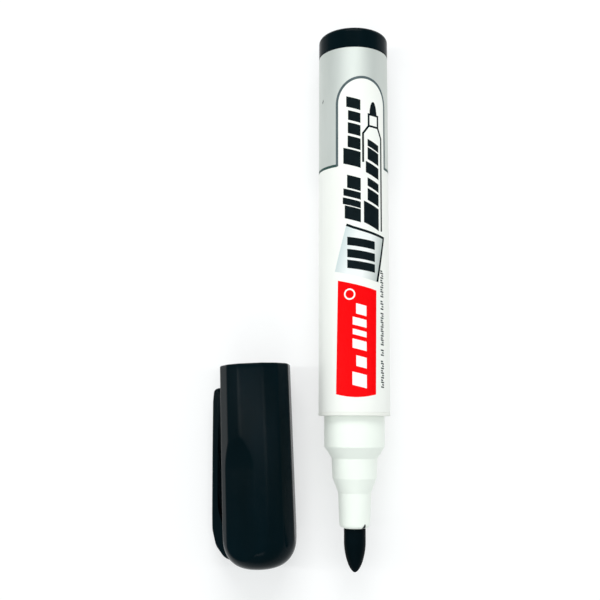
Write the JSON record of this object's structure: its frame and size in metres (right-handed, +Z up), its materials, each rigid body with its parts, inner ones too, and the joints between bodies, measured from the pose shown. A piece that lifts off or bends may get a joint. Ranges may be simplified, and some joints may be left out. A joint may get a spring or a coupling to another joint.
{
  "type": "whiteboard marker",
  "caption": "Bullet-tip whiteboard marker lying uncapped, with its faceted clip cap beside it; stepped nose, printed label film and rear plug.",
  "frame": {"origin": "on the surface that the marker lies on, under the middle of the box round marker and cap", "axes": "+Y along the marker from nib to end plug, +Z up from the surface, +X from the cap towards the marker"},
  "size_m": [0.0408, 0.1214, 0.016],
  "materials": {
    "barrel_plastic": "satin moulded polypropylene, warm white",
    "printed_label": "glossy printed film, white, silver, red and black",
    "nose_plastic": "satin moulded polypropylene, cool white",
    "nib_fibre": "bonded polyester fibre, wet with black ink",
    "reservoir_fibre": "soft fibre rod soaked with black ink",
    "wrap_film": "thin clear film",
    "black_plastic": "glossy moulded polypropylene, black"
  },
  "bodies": {
    "marker": {"barrel": "barrel_plastic", "label_film": "printed_label", "nose_section": "nose_plastic", "ink_reservoir": "reservoir_fibre", "reservoir_wrap": "wrap_film"},
    "plug": {"end_plug": "black_plastic"},
    "nib": {"nib": "nib_fibre"},
    "cap": {"cap_shell": "black_plastic", "cap_liner": "black_plastic"},
    "clip": {"cap_clip": "black_plastic"}
  },
  "joints": [
    {"name": "plug_pull", "type": "slide", "parent": "marker", "child": "plug", "axis": [0, 1, 0], "range_m": [0, 0.0106]},
    {"name": "nib_pull", "type": "slide", "parent": "marker", "child": "nib", "axis": [0, -1, 0], "range_m": [0, 0.0241]},
    {"name": "cap_slide", "type": "slide", "parent": "marker", "child": "cap", "axis": [0, -1, 0], "range_m": [0, 0.052]},
    {"name": "clip_flex", "type": "hinge", "parent": "cap", "child": "clip", "pos_m": [-0.01834, -0.0506, 0.00289], "axis": [-0.4693, -0.0138, 0.8829], "range_deg": [0, 3], "stiffness_Nm_per_rad": 0.45}
  ]
}
